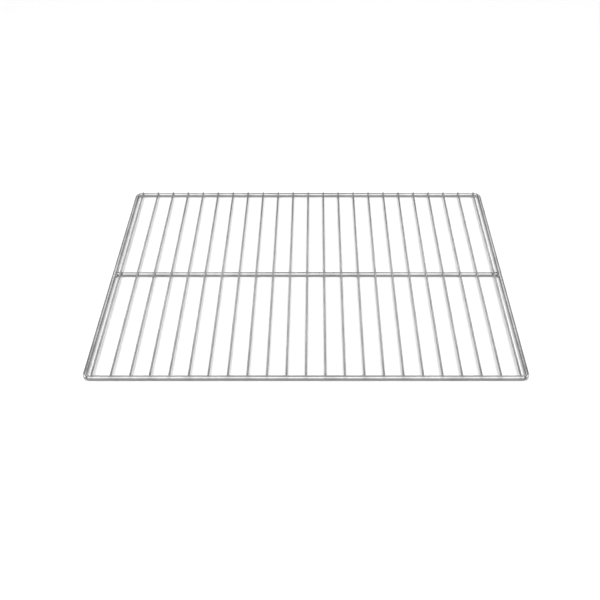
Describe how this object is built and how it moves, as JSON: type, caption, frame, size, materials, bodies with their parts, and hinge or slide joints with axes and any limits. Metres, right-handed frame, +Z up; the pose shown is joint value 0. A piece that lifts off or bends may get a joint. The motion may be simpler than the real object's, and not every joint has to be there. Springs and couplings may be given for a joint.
{
  "type": "cooling rack",
  "caption": "Flat rectangular wire cooling rack: a closed rod frame with rounded corners, one cross bar and parallel wires welded on top.",
  "frame": {"origin": "centre of the footprint, on the surface the rack stands on", "axes": "+X across the width, along the cross bar; +Y from front to back, along the wires; +Z up"},
  "size_m": [0.46, 0.33, 0.0067],
  "materials": {
    "rod_steel": "bright plated, smooth",
    "wire_steel": "bright plated, smooth",
    "weld_steel": "plated weld, slightly uneven"
  },
  "bodies": {
    "root": {"perimeter_rod": "rod_steel", "centre_bar": "rod_steel", "grid_wire_01": "wire_steel", "grid_wire_02": "wire_steel", "grid_wire_03": "wire_steel", "grid_wire_04": "wire_steel", "grid_wire_05": "wire_steel", "grid_wire_06": "wire_steel", "grid_wire_07": "wire_steel", "grid_wire_08": "wire_steel", "grid_wire_09": "wire_steel", "grid_wire_10": "wire_steel", "grid_wire_11": "wire_steel", "grid_wire_12": "wire_steel", "grid_wire_13": "wire_steel", "grid_wire_14": "wire_steel", "grid_wire_15": "wire_steel", "grid_wire_16": "wire_steel", "grid_wire_17": "wire_steel", "grid_wire_18": "wire_steel", "grid_wire_19": "wire_steel", "grid_wire_20": "wire_steel", "grid_wire_21": "wire_steel", "grid_wire_22": "wire_steel", "grid_wire_23": "wire_steel", "front_wire_welds": "weld_steel", "centre_wire_welds": "weld_steel", "back_wire_welds": "weld_steel", "bar_end_welds": "weld_steel"}
  },
  "joints": []
}
